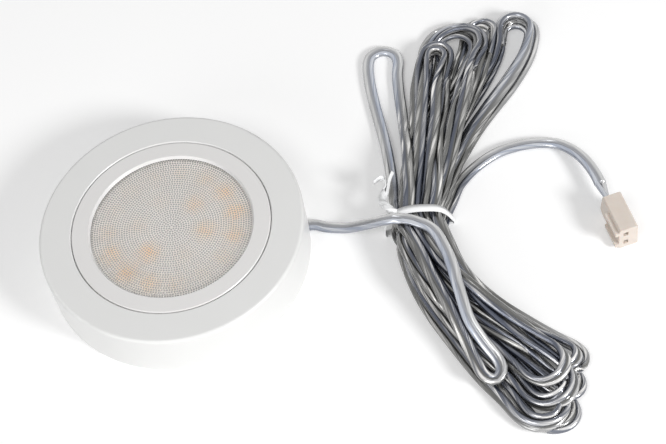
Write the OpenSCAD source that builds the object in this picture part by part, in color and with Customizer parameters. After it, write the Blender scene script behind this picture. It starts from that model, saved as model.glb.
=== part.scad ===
// Round LED spotlight in a surface ring, with a flat clear two-core lead.
// Origin: centre of the underside. +Z is up and +X points to the lead's outlet.

/* [Surface ring] */
// Outside diameter of the surface ring
ring_d = 80; // [77:0.5:100]
// Height of the ring above the surface it is fixed to
ring_h = 16; // [15:0.5:24]
// Thickness of the ring's side wall
ring_wall = 2; // [1.4:0.1:2.6]
// Thickness of the ring's face
face_t = 2; // [1.4:0.1:3]
// Radius of the ring's outer top edge
edge_r = 1; // [0.3:0.1:1.3]
// Thickness of the collar that drops from the face round the spot
collar_t = 1.6; // [1.2:0.1:2.2]
// Thickness of the ledge that carries the spot
ledge_t = 1.6; // [1.2:0.1:2.4]
// Number of ribs under the face
rib_count = 12; // [6:6:24]
// Thickness of a rib
rib_t = 1.2; // [0.8:0.1:1.8]
// Height of a rib where it meets the side wall
rib_drop = 6.5; // [4:0.5:7.5]
// Height of the bead inside the wall that the hooks catch
bead_h = 1.2; // [0.8:0.1:1.6]
// Width of the bead
bead_w = 1; // [0.7:0.1:1.3]

/* [Mounting plate] */
// Thickness of the mounting plate
plate_t = 2; // [1.6:0.1:2.4]
// Gap between the mounting plate and the ring's wall
plate_gap = 0.3; // [0.15:0.05:0.6]
// Diameter of the two fixing holes
fix_d = 4; // [3:0.1:5]
// Diameter of the countersink on a fixing hole
fix_sink_d = 7.6; // [6.4:0.1:8.6]
// Distance between the fixing holes
fix_pitch = 44; // [36:1:52]
// Diameter of the hole in the middle of the mounting plate
plate_hole_d = 10; // [6:1:16]
// Height of the rim that stiffens the mounting plate
plate_rim_h = 1; // [0.6:0.1:1.3]
// Width of the three snap hooks
hook_w = 7; // [5:0.5:9]
// Thickness of a hook's stem
hook_t = 1.4; // [1:0.1:1.8]
// Height of a hook's barb above the bead
barb_h = 1.4; // [1:0.1:1.8]

/* [Spot] */
// Outside diameter of the bezel
bezel_d = 60; // [56:0.5:61]
// Thickness of the bezel, which sits flush in the ring
bezel_t = 2; // [1.7:0.1:2.6]
// Gap between the bezel and the ring's rebate
bezel_gap = 0.25; // [0.15:0.05:0.5]
// Width of the bezel's seat on the ledge
seat_w = 2.3; // [1.8:0.1:3]
// Running gap between the spot's skirt and the ledge
skirt_gap = 0.5; // [0.45:0.05:0.8]
// Thickness of the skirt
skirt_wall = 1.5; // [1.2:0.1:2]
// Room for the wires and their clamp between the spot and the mounting plate
wire_room = 2.8; // [2.7:0.1:3.2]
// Height of the lip that holds the back plate in the skirt
lip_h = 0.8; // [0.6:0.1:1.2]
// How far the lip reaches in under the back plate
lip_w = 0.6; // [0.4:0.1:0.9]
// Width over which the bezel overlaps the lens
lens_lap = 1.1; // [0.8:0.1:1.6]
// Slope of the bezel's rim, from the lens up to the face
rim_flare = 0.6; // [0.2:0.1:1]

/* [Lens and reflector] */
// Thickness of the lens
lens_t = 1.4; // [1:0.1:2]
// Depth of the lens below the face
lens_drop = 0.9; // [0.5:0.1:1.4]
// Gap round the lens
lens_gap = 0.15; // [0.1:0.05:0.3]
// Spacing of the prism rings on the back of the lens
prism_pitch = 0.75; // [0.6:0.05:1.5]
// Depth of the prism rings
prism_depth = 0.3; // [0.1:0.05:0.4]
// Wall of the reflector tray
tray_wall = 1; // [0.7:0.1:1.3]
// Thickness of the reflector tray's floor
tray_floor = 0.6; // [0.5:0.1:1]
// Slope of the tray's wall from floor to lens
tray_flare = 1.6; // [1:0.1:2]
// Diameter of the window over each LED
window_d = 4; // [3.6:0.1:4.4]

/* [LED board] */
// Thickness of the LED board
board_t = 1; // [0.8:0.1:1.6]
// Thickness of the aluminium back plate
back_t = 1.2; // [0.9:0.1:1.6]
// Number of LEDs on the outer circle
outer_leds = 15; // [9:1:15]
// Radius of the outer circle of LEDs
outer_led_r = 19.5; // [18.5:0.1:20]
// Number of LEDs on the inner circle
inner_leds = 6; // [3:3:6]
// Radius of the inner circle of LEDs
inner_led_r = 10.5; // [10:0.1:11]
// Length of an LED
led_l = 3.5; // [2.8:0.1:3.6]
// Width of an LED
led_w = 2.8; // [2:0.1:3]
// Height of an LED
led_h = 0.7; // [0.5:0.1:1]
// Diameter of an LED's yellow phosphor
phosphor_d = 2.2; // [1.6:0.1:2.4]
// Number of chip resistors
resistors = 7; // [5:1:7]
// Length of a resistor
resistor_l = 3.2; // [2:0.1:3.3]
// Width of a resistor
resistor_w = 1.6; // [1.2:0.1:2]
// Radius of the circle of resistors
resistor_r = 6.3; // [6.2:0.1:6.8]
// Side of the rectifier's case
rectifier_l = 4.6; // [3.8:0.1:5]
// Diameter of the board screws
board_screw_d = 2.5; // [2:0.1:3]
// Diameter of a board screw's head
board_head_d = 4.4; // [4:0.1:4.8]
// Height of a board screw's head
board_head_h = 1.1; // [0.8:0.1:1.2]
// Radius of the circle of board screws
board_screw_r = 15; // [14.8:0.1:15.2]

/* [Clips] */
// Width of the spring clips that hold the spot
clip_w = 8; // [6:0.5:9]
// Thickness of the clip strip
clip_t = 0.4; // [0.3:0.05:0.45]
// Reach of a clip's tip under the ledge
clip_reach = 2; // [1.2:0.1:2.6]

/* [Lead] */
// Width of the flat lead
lead_w = 3.7; // [3:0.1:4]
// Thickness of the flat lead, and of each of its cores
lead_t = 1.8; // [1.4:0.1:1.9]
// Gap between the lead and what it passes through
lead_gap = 0.3; // [0.2:0.05:0.6]
// Length of the clamp bar, across the lead
clamp_l = 14; // [13:0.5:15]
// Width of the clamp bar, along the lead
clamp_w = 4.6; // [4.4:0.1:5]
// Thickness of the clamp bar
clamp_t = 1.6; // [1.2:0.1:2]
// Diameter of the clamp screws
clamp_screw_d = 2; // [1.6:0.1:2.2]
// Diameter of a clamp screw's head
clamp_head_d = 3.6; // [3:0.1:4]
// Height of a clamp screw's head
clamp_head_h = 1; // [0.8:0.1:1.2]
// Height of the wound lead's upper fan of loops
fan_h = 9; // [6:0.5:12]
// Height of the wound lead's lower bundle
bundle_h = 14; // [10:0.5:18]
// Width of the wire tie
tie_w = 2.6; // [2:0.1:4]
// Thickness of the wire tie
tie_t = 0.8; // [0.5:0.1:1.2]

/* [Connector] */
// Length of the connector housing
conn_l = 13; // [11:0.1:16]
// Width of the connector housing
conn_w = 5.8; // [5.4:0.1:7]
// Height of the connector housing, along its row of contacts
conn_h = 9.2; // [8.8:0.1:11]
// Distance between the two contacts
conn_pitch = 3.96; // [3.9:0.01:4.2]
// Width of the opening for a header pin
pin_w = 1.5; // [1.2:0.05:1.8]
// Height of the opening for a header pin
pin_h = 1.7; // [1.3:0.05:1.9]
// Side of the chamber that holds a contact
chamber = 3.2; // [3:0.1:3.4]
// Gap between a contact and its chamber
contact_gap = 0.15; // [0.1:0.05:0.3]
// Metal thickness of a contact
contact_t = 0.3; // [0.2:0.05:0.4]
// Length of a contact's box
contact_box_l = 6; // [4:0.1:6.5]
// Reach of the guide ribs beside the housing
guide_reach = 1.2; // [0.8:0.1:1.6]
// Height of a guide rib
guide_h = 1.4; // [1:0.1:1.8]
// Length of the guide ribs
guide_l = 8; // [6:0.1:9]
// Distance between the guide ribs
guide_pitch = 5.6; // [4.8:0.1:6]
// Bevel on the housing's edges
conn_bevel = 0.4; // [0.2:0.05:0.6]

/* [Hidden] */
$fn = 96;
fit = 0.05;            // a seated fit between two pieces
cut = 0.5;             // how far a cutting shape runs past its piece

// Radii of the ring and the spot, from the outside in
ring_r = ring_d / 2;
wall_r = ring_r - ring_wall;
plate_r = wall_r - plate_gap;
bezel_r = bezel_d / 2;
rebate_r = bezel_r + bezel_gap;
collar_r = rebate_r + collar_t;
ledge_r = bezel_r - seat_w;
skirt_r = ledge_r - skirt_gap;
skirt_in_r = skirt_r - skirt_wall;
lens_r = skirt_in_r - lens_gap;
open_r = lens_r - lens_lap;
back_r = skirt_in_r - fit * 2;
board_r = back_r - fit * 2;
tray_r = lens_r - fit * 2;

// Heights, from the surface up
seat_z = ring_h - bezel_t;
ledge_z = seat_z - ledge_t;
face_z = ring_h - face_t;
back_z = plate_t + wire_room + lip_h;
board_z = back_z + back_t;
leds_z = board_z + board_t;
lens_z = ring_h - lens_drop - lens_t;
floor_z = leds_z + board_head_h + 0.2;
skirt_z = back_z - lip_h;
bead_z = plate_t;

// Angles round the spot
led_turn = 3;          // first LED of the outer circle
inner_turn = 41;       // first LED of the inner circle
screw_turn = 71;       // first board screw
screw_turns = [for (i = [0:2]) screw_turn + i * 120];
hook_turns = [60, 180, 300];
clip_turns = [90, 210, 330];

// The lead's path inside the ring, and where it is clamped
lead_z = lead_t / 2 + fit;
slot_w = lead_w + 2 * lead_gap;
core_y = (lead_w - lead_t) / 2;
wire_x = 15;           // where the two wires rise through the board
wire_bend = 2.5;       // radius of their bend
wire_hole_l = lead_w + 2 * lead_gap;
wire_hole_w = lead_t + 2 * lead_gap;
clamp_x = sqrt(pow(wall_r - bead_w - lead_gap, 2) - pow(clamp_l / 2, 2)) - clamp_w / 2;
jacket_x = clamp_x - clamp_w / 2 - 0.2;
clamp_screw_y = clamp_l / 2 - clamp_head_d / 2 - 0.3;

// The lead from its clamp to the wound part: x, y, z and turn about its own run
lead_route = [
    [38, 0, lead_z, 0], [42, -0.4, lead_z, 0], [46, -2, lead_z, 0], [50, -3.4, lead_z, 0],
    [54, -4.2, 1.6, 0], [58, -4.8, 3, 0], [61.5, -5.6, 5, 0], [64.8, -6.6, 6.8, 0]
];
// The tail from the wound part to the connector
tail_route = [
    [84.6, -0.4, 2.6, 0], [86, 2.8, 2.4, 0], [87.6, 6, 2.2, 0], [90.4, 9.2, 2, 0],
    [94.4, 11.8, 1.8, 0], [99, 13.2, 1.7, 0], [104, 13.8, 1.6, 0], [109, 13.4, 1.6, 0],
    [114, 12, 1.9, 0], [118.8, 9.4, 2.5, 10], [122.8, 5.4, 3.2, 25], [125.8, 0.2, 3.9, 45],
    [127.4, -5.6, 4.4, 65], [128.2, -11, 4.6, 80]
];
// The wound lead's outline: centre and radius of each end of its loops
fan_ends = [[74, 55, 5.9], [97.3, 53.4, 10.2], [105.6, 57.6, 5.8], [115.3, 56, 6.8]];
bundle_ends = [[79, -38, 10.8], [90.5, -58, 11.5], [95, -76.4, 8.2], [102.4, -66.5, 7.2]];
neck = [65.6, 82.4];   // left and right side of the bundle at the tie
neck_y = [-17, 4];     // its lower and upper end
tie_y = -10;           // where the tie goes round
tie_tail_l = 11;       // length of the tie's twisted end

// The connector's place: the middle of its back, and its turn about Z
conn_at = [129.4, -16.8];
conn_turn = 8;
contact_x = -0.8;      // the contacts stand off the housing's middle
contact_zs = [for (s = [-1, 1]) conn_h / 2 + s * conn_pitch / 2];
conn_floor = 2.6;      // housing in front of a contact
tail_turn = 88;        // the lead stands on edge where it enters the connector

led_names = [for (i = [1:outer_leds + inner_leds]) str("led_", i)];
resistor_names = [for (i = [1:resistors]) str("resistor_", i)];
clip_names = [for (i = [1:3]) str("clip_", i)];
contact_names = ["contact_lower", "contact_upper"];
wire_names = ["wire_left", "wire_right"];

// Helpers

// Turns its children round Z by each angle
module around(turns) {
    for (a = turns) rotate(a) children();
}

// Extrudes a profile of radius and height into a bar of width w, centred on +X
module bar(w) {
    rotate([90, 0, 0]) linear_extrude(w, center = true) children();
}

function unit(v) = v / norm(v);
function left_of(v) = [-v[1], v[0]];
// Normal of a bent strip at its point i, lengthened at a corner to keep the thickness
function strip_normal(p, i) =
    i == 0 ? left_of(unit(p[1] - p[0]))
    : i == len(p) - 1 ? left_of(unit(p[i] - p[i - 1]))
    : let (a = left_of(unit(p[i] - p[i - 1])), b = left_of(unit(p[i + 1] - p[i]))) (a + b) / (1 + a * b);
// Outline of a strip of thickness t along the points p
function strip(p, t) = concat(
    [for (i = [0:len(p) - 1]) p[i] + strip_normal(p, i) * t / 2],
    [for (i = [len(p) - 1:-1:0]) p[i] - strip_normal(p, i) * t / 2]);

// Eight corners of the flat lead's section
function lead_section() = let (a = lead_w / 2, b = lead_t / 2, c = lead_t * 0.3)
    [[a, -b + c], [a, b - c], [a - c, b], [c - a, b], [-a, b - c], [-a, c - b], [c - a, -b], [a - c, -b]];
function xyz(p) = [p[0], p[1], p[2]];
// Direction of the route at point i
function along(r, i) = unit(xyz(r[min(i + 1, len(r) - 1)]) - xyz(r[max(i - 1, 0)]));
// One ring of the lead: the section laid flat across the route, then turned about it
function lead_ring(r, i) = let (
    f = along(r, i), side = unit(cross(f, [0, 0, 1])), up = cross(side, f), a = r[i][3])
    [for (q = lead_section())
        xyz(r[i]) + side * (q[0] * cos(a) - q[1] * sin(a)) + up * (q[0] * sin(a) + q[1] * cos(a))];

// A solid swept along a route of rings
module swept(r) {
    k = len(lead_section());
    n = len(r);
    points = [for (i = [0:n - 1]) each lead_ring(r, i)];
    sides = [for (i = [0:n - 2], j = [0:k - 1])
        [i * k + j, i * k + (j + 1) % k, (i + 1) * k + (j + 1) % k, (i + 1) * k + j]];
    ends = [[for (j = [k - 1:-1:0]) j], [for (j = [0:k - 1]) (n - 1) * k + j]];
    polyhedron(points, concat(sides, ends), convexity = 6);
}

// Surface ring and mounting plate

// Section of the ring: side wall, face, collar and ledge
module ring_profile() {
    difference() {
        union() {
            translate([wall_r, 0]) square([ring_wall, ring_h - edge_r]);
            translate([rebate_r, face_z]) square([ring_r - edge_r - rebate_r, face_t]);
            translate([wall_r, face_z]) square([ring_wall, ring_h - edge_r - face_z]);
            translate([rebate_r, ledge_z]) square([collar_t, ring_h - ledge_z - face_t / 2]);
            translate([ledge_r, ledge_z]) square([rebate_r - ledge_r + fit, ledge_t]);
            translate([ring_r - edge_r, ring_h - edge_r]) circle(edge_r);
            polygon([[wall_r - bead_w, bead_z], [wall_r + fit, bead_z], [wall_r + fit, bead_z + bead_h + bead_w / 2],
                     [wall_r - bead_w, bead_z + bead_h]]);
        }
        polygon([[rebate_r - fit, ring_h - 0.3], [rebate_r - fit, ring_h + cut], [rebate_r + 0.3, ring_h + cut],
                 [rebate_r + 0.3, ring_h], [rebate_r, ring_h - 0.3]]);
    }
}

module surface_ring() {
    rib_turns = [for (i = [0:rib_count - 1]) (i + 0.5) * 360 / rib_count];
    color([0.87, 0.87, 0.86]) difference() {
        union() {
            rotate_extrude() ring_profile();
            around(rib_turns) bar(rib_t)
                polygon([[collar_r - collar_t / 2, face_z + fit], [wall_r + ring_wall / 2, face_z + fit],
                         [wall_r + ring_wall / 2, face_z - rib_drop], [collar_r - collar_t / 2, ledge_z]]);
        }
        // outlet for the lead, open at the bottom
        translate([wall_r - bead_w - cut, -slot_w / 2, -cut])
            cube([ring_wall + bead_w + 2 * cut, slot_w, lead_t + lead_gap + cut]);
    }
}

// A hook whose barb catches over the ring's bead
module hook() {
    barb_z = bead_z + bead_h + bead_w / 2 + 0.1;
    stem_r = wall_r - bead_w - plate_gap;
    bar(hook_w) polygon([[stem_r - hook_t, plate_t - fit], [stem_r, plate_t - fit], [stem_r, barb_z],
                         [stem_r + bead_w * 0.7, barb_z], [stem_r, barb_z + barb_h], [stem_r - hook_t, barb_z + barb_h]]);
}

module mounting_plate() {
    rim_r = clamp_x - clamp_w / 2 - 1.5;
    color([0.84, 0.84, 0.83]) difference() {
        union() {
            cylinder(r = plate_r, h = plate_t);
            difference() {
                cylinder(r = rim_r, h = plate_t + plate_rim_h);
                translate([0, 0, plate_t]) cylinder(r = rim_r - 1.2, h = plate_rim_h + cut);
                translate([rim_r - 5, -clamp_l / 2, plate_t]) cube([10, clamp_l, plate_rim_h + cut]);
            }
            around(hook_turns) hook();
        }
        translate([0, 0, -cut]) cylinder(d = plate_hole_d, h = plate_t + 2 * cut);
        for (s = [-1, 1]) translate([0, s * fix_pitch / 2, 0]) {
            translate([0, 0, -cut]) cylinder(d = fix_d, h = plate_t + 2 * cut);
            translate([0, 0, plate_t - (fix_sink_d - fix_d) / 4])
                cylinder(d1 = fix_d, d2 = fix_sink_d, h = (fix_sink_d - fix_d) / 4 + fit / 5);
        }
        // channel for the lead and its wires
        translate([wire_x - wire_bend - 1, -slot_w / 2, -cut]) cube([plate_r, slot_w, plate_t + 2 * cut]);
        for (s = [-1, 1]) translate([clamp_x, s * clamp_screw_y, 0.4]) cylinder(d = clamp_screw_d + fit, h = plate_t);
    }
}

// Spot

module bezel() {
    lens_top = ring_h - lens_drop;
    color([0.9, 0.9, 0.89]) union() {
        rotate_extrude() difference() {
            union() {
                translate([open_r, seat_z]) square([bezel_r - open_r, bezel_t]);
                translate([skirt_in_r, skirt_z]) square([skirt_wall, seat_z - skirt_z + fit]);
            }
            // pocket for the lens
            translate([open_r - cut, seat_z - cut]) square([skirt_in_r - open_r + cut, lens_top - seat_z + cut]);
            // sloping rim
            polygon([[open_r - cut, lens_top], [open_r, lens_top], [open_r + rim_flare, ring_h],
                     [open_r + rim_flare, ring_h + cut], [open_r - cut, ring_h + cut]]);
            // broken outer edge
            polygon([[bezel_r - 0.25, ring_h], [bezel_r, ring_h - 0.25], [bezel_r + cut, ring_h - 0.25],
                     [bezel_r + cut, ring_h + cut], [bezel_r - 0.25, ring_h + cut]]);
        }
        // lips that the back plate snaps over, between the clips
        for (a = clip_turns) rotate(a + 40) rotate_extrude(angle = 40)
            polygon([[skirt_in_r - lip_w, back_z - fit], [skirt_in_r + fit, back_z - fit],
                     [skirt_in_r + fit, skirt_z], [skirt_in_r, skirt_z]]);
    }
}

// A clear disc with prism rings on its back
module lens() {
    rings = floor((open_r - prism_pitch) / prism_pitch);
    teeth = [for (i = [rings:-1:1]) each [[(i + 1) * prism_pitch, lens_z],
                                          [(i + 0.5) * prism_pitch, lens_z + prism_depth]]];
    color([0.82, 0.83, 0.83, 0.6]) rotate_extrude()
        polygon(concat([[0, lens_z], [0, lens_z + lens_t], [lens_r, lens_z + lens_t], [lens_r, lens_z]],
                       teeth, [[prism_pitch, lens_z]]));
}

// Places children at the angle and radius of LED i
module at_led(i) {
    outer = i <= outer_leds;
    a = outer ? led_turn + (i - 1) * 360 / outer_leds : inner_turn + (i - outer_leds - 1) * 360 / inner_leds;
    rotate(a) translate([outer ? outer_led_r : inner_led_r, 0, 0]) children();
}

module reflector_tray() {
    foot_r = tray_r - tray_flare;
    rim_h = 0.8;
    color([0.93, 0.93, 0.91]) difference() {
        union() {
            rotate_extrude() polygon([
                [foot_r - tray_wall, leds_z], [foot_r, leds_z], [foot_r, floor_z], [tray_r, lens_z - rim_h],
                [tray_r, lens_z], [tray_r - tray_wall, lens_z], [foot_r - tray_wall, floor_z + tray_floor]]);
            translate([0, 0, floor_z]) cylinder(r = foot_r - tray_wall + fit, h = tray_floor);
        }
        for (i = [1:outer_leds + inner_leds])
            at_led(i) translate([0, 0, floor_z - cut]) cylinder(d = window_d, h = tray_floor + 2 * cut, $fn = 48);
    }
}

// Opening for the two wires, through whatever stands at wire_x
module wire_hole() {
    for (s = [-1, 1]) translate([wire_x, s * (wire_hole_l - wire_hole_w) / 2, back_z - cut])
        cylinder(d = wire_hole_w, h = back_t + board_t + 2 * cut, $fn = 48);
    translate([wire_x - wire_hole_w / 2, (wire_hole_w - wire_hole_l) / 2, back_z - cut])
        cube([wire_hole_w, wire_hole_l - wire_hole_w, back_t + board_t + 2 * cut]);
}

module led_board() {
    color([0.95, 0.95, 0.93]) difference() {
        translate([0, 0, board_z]) cylinder(r = board_r, h = board_t);
        around(screw_turns) translate([board_screw_r, 0, board_z - cut])
            cylinder(d = board_screw_d + 0.3, h = board_t + 2 * cut, $fn = 48);
        wire_hole();
    }
}

module back_plate() {
    color([0.75, 0.76, 0.78]) difference() {
        translate([0, 0, back_z]) cylinder(r = back_r, h = back_t);
        around(screw_turns) translate([board_screw_r, 0, back_z - cut])
            cylinder(d = board_screw_d + fit, h = back_t + 2 * cut, $fn = 48);
        wire_hole();
    }
}

// One LED: white case with a dish of yellow phosphor
module led(i) {
    dish_h = 0.12;
    at_led(i) translate([0, 0, leds_z]) {
        color([0.93, 0.92, 0.88]) difference() {
            translate([-led_w / 2, -led_l / 2, 0]) cube([led_w, led_l, led_h]);
            translate([0, 0, led_h - dish_h]) cylinder(d1 = phosphor_d, d2 = phosphor_d + 0.2, h = dish_h + 0.01, $fn = 32);
        }
    }
}

// A chip resistor: body with a metal cap at each end
module resistor(i) {
    cap_l = 0.5;
    rotate((i - 1) * 360 / resistors) translate([resistor_r, 0, leds_z]) color([0.12, 0.12, 0.13]) {
        translate([-resistor_w / 2 + fit, -resistor_l / 2 + cap_l / 2, 0])
            cube([resistor_w - 2 * fit, resistor_l - cap_l, 0.5]);
        for (s = [-1, 1]) translate([-resistor_w / 2, s * (resistor_l - cap_l) / 2 - cap_l / 2, 0])
            cube([resistor_w, cap_l, 0.55]);
    }
}

// Bridge rectifier: case with four flat legs
module rectifier() {
    leg_w = 0.7;
    case_w = rectifier_l * 0.8;
    color([0.1, 0.1, 0.11]) translate([0, 0, leds_z]) {
        translate([-case_w / 2, -rectifier_l / 2, 0.1]) cube([case_w, rectifier_l, 1]);
        for (x = [-1, 1], y = [-1, 1])
            translate([x * (case_w / 2) - 0.6, y * rectifier_l / 4 - leg_w / 2, 0]) cube([1.2, leg_w, 0.3]);
    }
}

// Pan-head screw standing on z = 0, its shank reaching down by l
module screw(d, head_d, head_h, l) {
    translate([0, 0, -l]) cylinder(d = d, h = l + fit, $fn = 48);
    difference() {
        rotate_extrude($fn = 48) polygon([[0, 0], [head_d / 2, 0], [head_d / 2, head_h * 0.6], [head_d * 0.36, head_h],
                                          [0, head_h]]);
        for (a = [0, 90]) rotate(a) translate([-head_d * 0.28, -head_d * 0.06, head_h * 0.45])
            cube([head_d * 0.56, head_d * 0.12, head_h]);
    }
}

module board_screws() {
    color([0.8, 0.8, 0.82]) around(screw_turns) translate([board_screw_r, 0, leds_z])
        screw(board_screw_d, board_head_d, board_head_h, board_t + back_t);
}

// Spring clip: hooked under the skirt's edge, with a barb that bears on the ledge from below
module clip(i) {
    leg_x = sqrt(pow(skirt_in_r, 2) - pow(clip_w / 2, 2)) - clip_t / 2 - fit;
    leaf_x = skirt_r + clip_t / 2 + fit;
    under_z = skirt_z - clip_t / 2 - fit;
    color([0.72, 0.73, 0.75]) rotate(clip_turns[i - 1]) bar(clip_w) polygon(strip([
        [leg_x, skirt_z + lip_h * 0.6], [leg_x, under_z], [leaf_x, under_z], [leaf_x, ledge_z - 1.6],
        [leaf_x + 0.5, ledge_z - 1.2], [leaf_x + clip_reach, ledge_z - 3.4],
        [leaf_x + clip_reach + 0.5, ledge_z - 3.2], [leaf_x + clip_reach * 0.75, ledge_z - clip_t * 0.75]], clip_t));
}

// Lead

module lead_clamp() {
    color([0.84, 0.84, 0.83]) difference() {
        union() {
            translate([clamp_x - clamp_w / 2, -clamp_l / 2, plate_t + fit]) cube([clamp_w, clamp_l, clamp_t]);
            translate([clamp_x - 0.6, -lead_w / 2, lead_z + lead_t / 2 + fit])
                cube([1.2, lead_w, plate_t + 2 * fit - lead_z - lead_t / 2 + 0.1]);
        }
        for (s = [-1, 1]) translate([clamp_x, s * clamp_screw_y, plate_t - cut])
            cylinder(d = clamp_screw_d + 0.2, h = clamp_t + 2 * cut, $fn = 48);
    }
}

module clamp_screws() {
    color([0.8, 0.8, 0.82]) for (s = [-1, 1]) translate([clamp_x, s * clamp_screw_y, plate_t + clamp_t + 2 * fit])
        screw(clamp_screw_d, clamp_head_d, clamp_head_h, clamp_t + plate_t - 0.6);
}

// One insulated core, from the end of the jacket up through the board to its solder pad
module wire(side) {
    top_z = leds_z + 0.5;
    core_r = lead_t / 2 - fit;
    color([0.85, 0.85, 0.86]) translate([0, side * core_y, 0]) {
        translate([wire_x + wire_bend, 0, lead_z]) rotate([0, 90, 0])
            cylinder(r = core_r, h = jacket_x - wire_x - wire_bend, $fn = 32);
        translate([wire_x + wire_bend, 0, lead_z + wire_bend]) rotate([90, 0, 0]) rotate(180)
            rotate_extrude(angle = 90, $fn = 32) translate([wire_bend, 0]) circle(core_r);
        translate([wire_x, 0, lead_z + wire_bend]) cylinder(r = core_r, h = top_z - lead_z - wire_bend, $fn = 32);
        translate([wire_x, 0, top_z - fit]) cylinder(r1 = core_r, r2 = core_r * 0.5, h = 0.4, $fn = 32);
    }
}

// The lead from its clamp to the wound part
module lead() {
    inside = [for (x = [jacket_x, clamp_x]) [x, 0, lead_z, 0]];
    color([0.75, 0.76, 0.78]) swept(concat(inside, lead_route));
}

module lead_tail() {
    end = [conn_at[0] + contact_x * cos(conn_turn), conn_at[1] + contact_x * sin(conn_turn) + 3 * fit, conn_h / 2, tail_turn];
    color([0.75, 0.76, 0.78]) swept(concat(tail_route, [end]));
}

module end_circles(ends) {
    for (e = ends) translate([e[0], e[1]]) circle(e[2], $fn = 32);
}

// The wound part as one body: a fan of loops above the tie and a close bundle below it
module wound_lead() {
    color([0.72, 0.73, 0.76]) difference() {
        union() {
            linear_extrude(fan_h) hull() {
                end_circles(fan_ends);
                translate([neck[0], neck_y[1]]) square([neck[1] - neck[0], 1]);
            }
            linear_extrude(bundle_h) hull() {
                end_circles(bundle_ends);
                translate([neck[0], neck_y[0] - 1]) square([neck[1] - neck[0], 1]);
            }
            translate([neck[0], neck_y[0] - fit, 0]) cube([neck[1] - neck[0], neck_y[1] - neck_y[0] + 2 * fit, bundle_h]);
        }
        // groove that the tie lies in
        difference() {
            translate([neck[0] - cut, tie_y - tie_w / 2 - fit, -cut])
                cube([neck[1] - neck[0] + 2 * cut, tie_w + 2 * fit, bundle_h + 2 * cut]);
            translate([neck[0] + tie_t + fit, tie_y - tie_w, tie_t + fit])
                cube([neck[1] - neck[0] - 2 * (tie_t + fit), 2 * tie_w, bundle_h - 2 * (tie_t + fit)]);
        }
    }
}

// Flat wire tie round the bundle, with its ends twisted together on the left
module wire_tie() {
    color([0.95, 0.95, 0.94]) {
        difference() {
            translate([neck[0], tie_y - tie_w / 2, 0]) cube([neck[1] - neck[0], tie_w, bundle_h]);
            translate([neck[0] + tie_t, tie_y - tie_w, tie_t])
                cube([neck[1] - neck[0] - 2 * tie_t, 2 * tie_w, bundle_h - 2 * tie_t]);
        }
        translate([neck[0] - tie_t / 2, tie_y, bundle_h - 2]) rotate([0, -90, -52]) {
            cylinder(d = tie_t * 2, h = tie_tail_l, $fn = 24);
            translate([0, 0, tie_tail_l]) sphere(d = tie_t * 2, $fn = 24);
        }
    }
}

// Connector

// Places children in the housing's own frame: the back's middle at the origin, the front towards -Y
module at_connector() {
    translate([conn_at[0], conn_at[1], 0]) rotate(conn_turn) children();
}

module connector() {
    chamber_l = conn_l - conn_floor;
    b = conn_bevel;
    w = conn_w / 2;
    color([0.84, 0.8, 0.76]) at_connector() difference() {
        union() {
            rotate([90, 0, 0]) linear_extrude(conn_l)
                polygon([[b - w, 0], [w - b, 0], [w, b], [w, conn_h - b], [w - b, conn_h], [b - w, conn_h],
                         [-w, conn_h - b], [-w, b]]);
            // shoulder behind the guide ribs
            rotate([90, 0, 0]) linear_extrude(conn_l - guide_l)
                polygon([[-w + fit, conn_h - b], [-w - guide_reach / 2, conn_h * 0.4], [-w + fit, b]]);
            // guide ribs that line the housing up with its header
            for (s = [-1, 1]) translate([-w - guide_reach, -conn_l, conn_h / 2 + s * guide_pitch / 2 - guide_h / 2])
                cube([guide_reach + fit, guide_l, guide_h]);
        }
        for (z = contact_zs) translate([contact_x, 0, z]) {
            translate([-chamber / 2, -chamber_l, -chamber / 2]) cube([chamber, chamber_l + cut, chamber]);
            translate([-pin_w / 2, -conn_l - cut, -pin_h / 2]) cube([pin_w, conn_floor + 2 * cut, pin_h]);
        }
    }
}

// Crimp contact: a folded box at the front and a barrel round the core behind it
module contact(z) {
    side = chamber - 2 * contact_gap;
    barrel_r = side / 2;
    front_y = -conn_l + conn_floor + contact_gap;
    barrel_l = conn_l - conn_floor - contact_gap - contact_box_l - 1;
    color([0.8, 0.66, 0.35]) at_connector() translate([contact_x, 0, z]) difference() {
        union() {
            translate([-side / 2, front_y, -side / 2]) cube([side, contact_box_l, side]);
            translate([0, front_y + contact_box_l - fit, 0]) rotate([-90, 0, 0]) cylinder(r = barrel_r, h = barrel_l, $fn = 48);
        }
        translate([contact_t - side / 2, front_y - cut, contact_t - side / 2])
            cube([side - 2 * contact_t, contact_box_l - contact_t + cut, side - 2 * contact_t]);
        translate([0, front_y, 0]) rotate([-90, 0, 0]) cylinder(r = barrel_r - contact_t, h = conn_l, $fn = 48);
        // open seam of the barrel
        translate([-0.2, front_y + contact_box_l, 0]) cube([0.4, conn_l, side]);
    }
}

surface_ring();
mounting_plate();
bezel();
lens();
reflector_tray();
led_board();
back_plate();
for (i = [1:len(led_names)]) led(i);
for (i = [1:resistors]) resistor(i);
rectifier();
board_screws();
for (i = [1:3]) clip(i);
lead_clamp();
clamp_screws();
for (i = [0:1]) wire(2 * i - 1);
lead();
wound_lead();
lead_tail();
wire_tie();
connector();
for (i = [0:1]) contact(contact_zs[i]);
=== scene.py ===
from functools import partial

import bpy
import numpy as np
from mathutils import Matrix, Vector


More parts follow.
